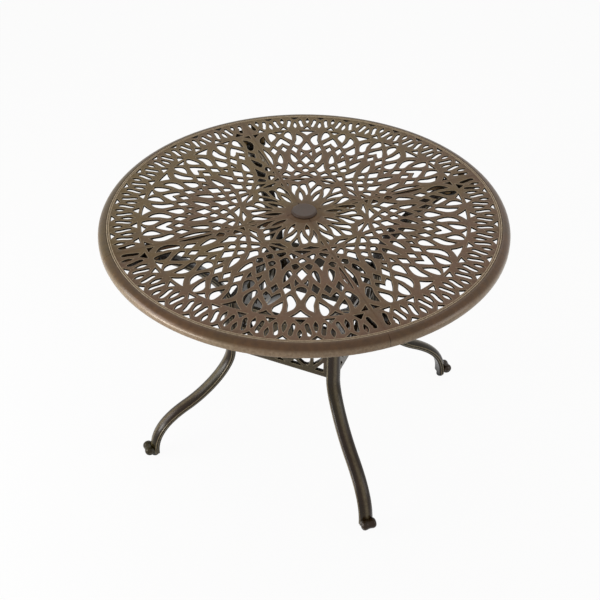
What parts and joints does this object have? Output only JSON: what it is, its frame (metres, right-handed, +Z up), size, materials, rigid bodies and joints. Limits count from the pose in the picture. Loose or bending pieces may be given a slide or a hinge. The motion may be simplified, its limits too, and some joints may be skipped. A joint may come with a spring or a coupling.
{
  "type": "umbrella table",
  "caption": "Round cast-metal patio table with an openwork top, an umbrella hole with a lift-out plug, S-curved legs with scroll feet, and openwork panels joining them at the waist.",
  "frame": {"origin": "on the floor, under the centre of the round top", "axes": "+Z up through the umbrella hole; the bars and legs lie at 45 degrees between X and Y"},
  "size_m": [1.066, 1.066, 0.7433],
  "materials": {
    "cast_top": "antique-bronze satin powder coat",
    "cast_base": "antique-bronze satin powder coat",
    "fasteners": "plain zinc",
    "glides": "matt black",
    "plug": "satin dark brown"
  },
  "bodies": {
    "root": {"glide_1": "glides", "glide_2": "glides", "glide_3": "glides", "glide_4": "glides", "leg_1": "cast_base", "leg_2": "cast_base", "leg_3": "cast_base", "leg_4": "cast_base", "leg_screw_1a": "fasteners", "leg_screw_1b": "fasteners", "leg_screw_1c": "fasteners", "leg_screw_1d": "fasteners", "leg_screw_2a": "fasteners", "leg_screw_2b": "fasteners", "leg_screw_2c": "fasteners", "leg_screw_2d": "fasteners", "leg_screw_3a": "fasteners", "leg_screw_3b": "fasteners", "leg_screw_3c": "fasteners", "leg_screw_3d": "fasteners", "leg_screw_4a": "fasteners", "leg_screw_4b": "fasteners", "leg_screw_4c": "fasteners", "leg_screw_4d": "fasteners", "panel_screw_1a": "fasteners", "panel_screw_1b": "fasteners", "panel_screw_1c": "fasteners", "panel_screw_1d": "fasteners", "panel_screw_2a": "fasteners", "panel_screw_2b": "fasteners", "panel_screw_2c": "fasteners", "panel_screw_2d": "fasteners", "panel_screw_3a": "fasteners", "panel_screw_3b": "fasteners", "panel_screw_3c": "fasteners", "panel_screw_3d": "fasteners", "panel_screw_4a": "fasteners", "panel_screw_4b": "fasteners", "panel_screw_4c": "fasteners", "panel_screw_4d": "fasteners", "seam_bolt_1a": "fasteners", "seam_bolt_1b": "fasteners", "seam_bolt_2a": "fasteners", "seam_bolt_2b": "fasteners", "seam_bolt_3a": "fasteners", "seam_bolt_3b": "fasteners", "seam_bolt_4a": "fasteners", "seam_bolt_4b": "fasteners", "top_quarter_1": "cast_top", "top_quarter_2": "cast_top", "top_quarter_3": "cast_top", "top_quarter_4": "cast_top", "waist_panel_1": "cast_base", "waist_panel_2": "cast_base", "waist_panel_3": "cast_base", "waist_panel_4": "cast_base"},
    "umbrella_plug": {"umbrella_plug": "plug"}
  },
  "joints": [
    {"name": "plug_lift", "type": "slide", "parent": "root", "child": "umbrella_plug", "axis": [0, 0, 1], "range_m": [0, 0.06]}
  ]
}
